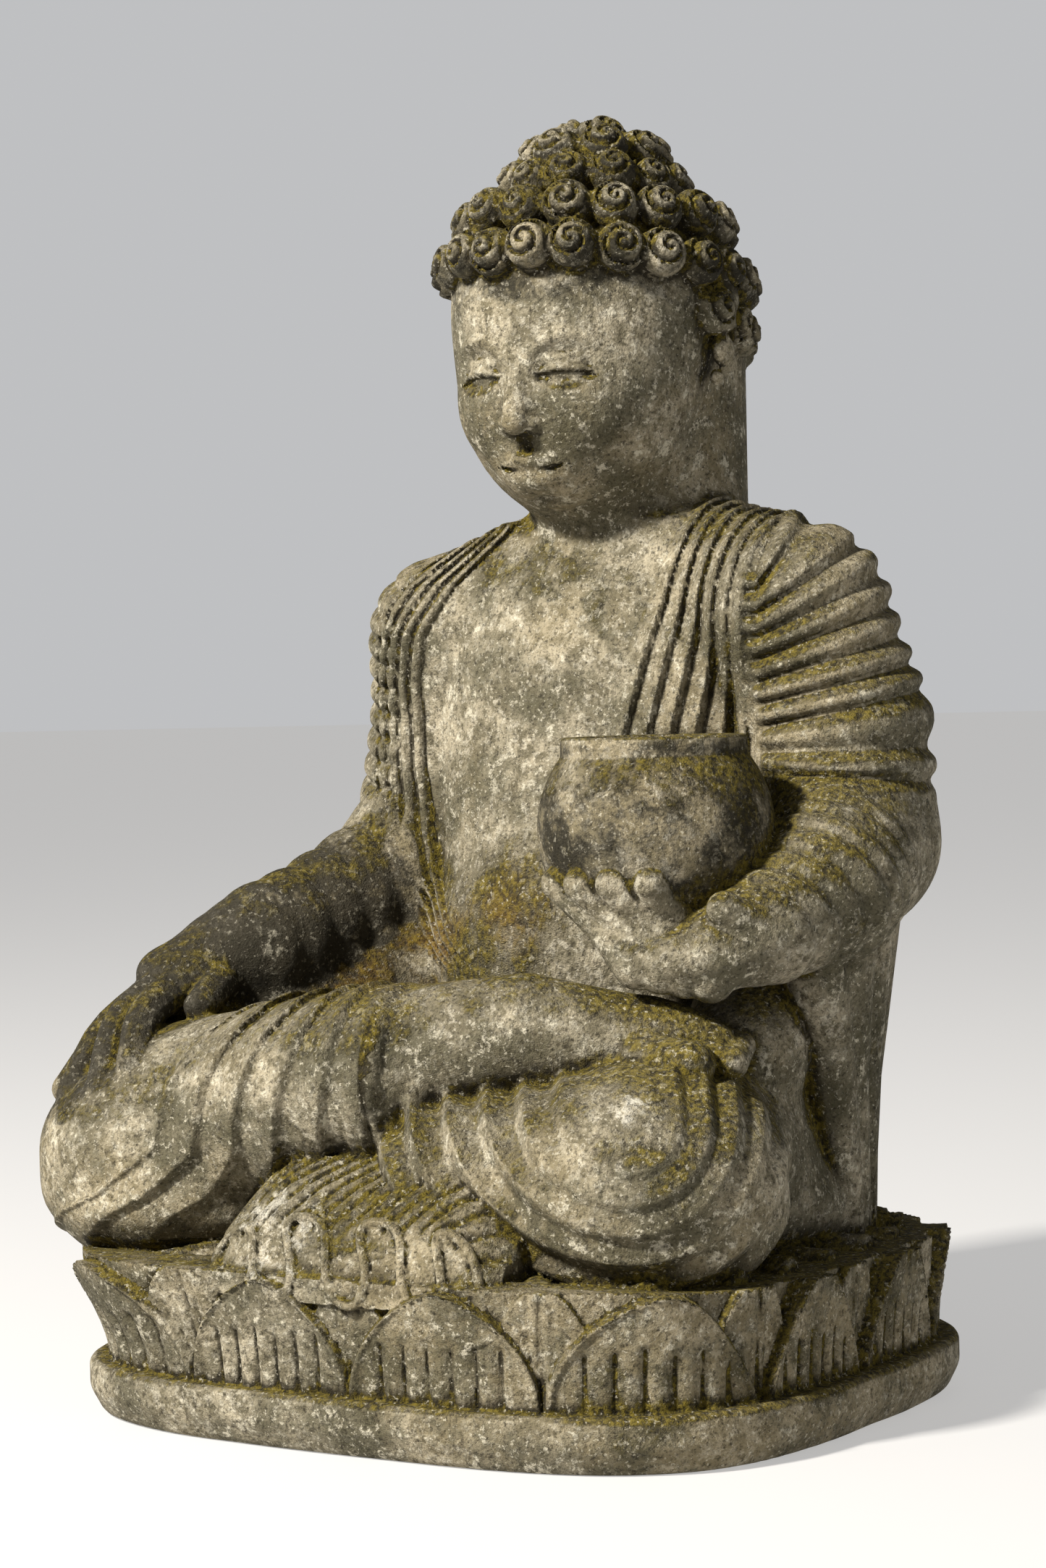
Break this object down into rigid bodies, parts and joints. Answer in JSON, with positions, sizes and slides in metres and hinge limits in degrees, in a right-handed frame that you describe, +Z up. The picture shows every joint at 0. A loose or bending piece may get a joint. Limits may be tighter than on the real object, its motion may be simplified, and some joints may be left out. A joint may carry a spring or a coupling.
{
  "type": "stone buddha statue",
  "caption": "Seated stone figure with an alms bowl on a lotus plinth, a garden and shelf ornament that stands by its own weight.",
  "frame": {"origin": "centre of the plinth's underside", "axes": "+Z up, -Y towards the figure's front, +X towards the figure's own left hand"},
  "size_m": [0.4191, 0.3323, 0.61],
  "materials": {
    "weathered_stone": "carved stone, weathered, with moss, dark algae and pale lichen"
  },
  "bodies": {
    "root": {"buddha_statue": "weathered_stone"}
  },
  "joints": []
}
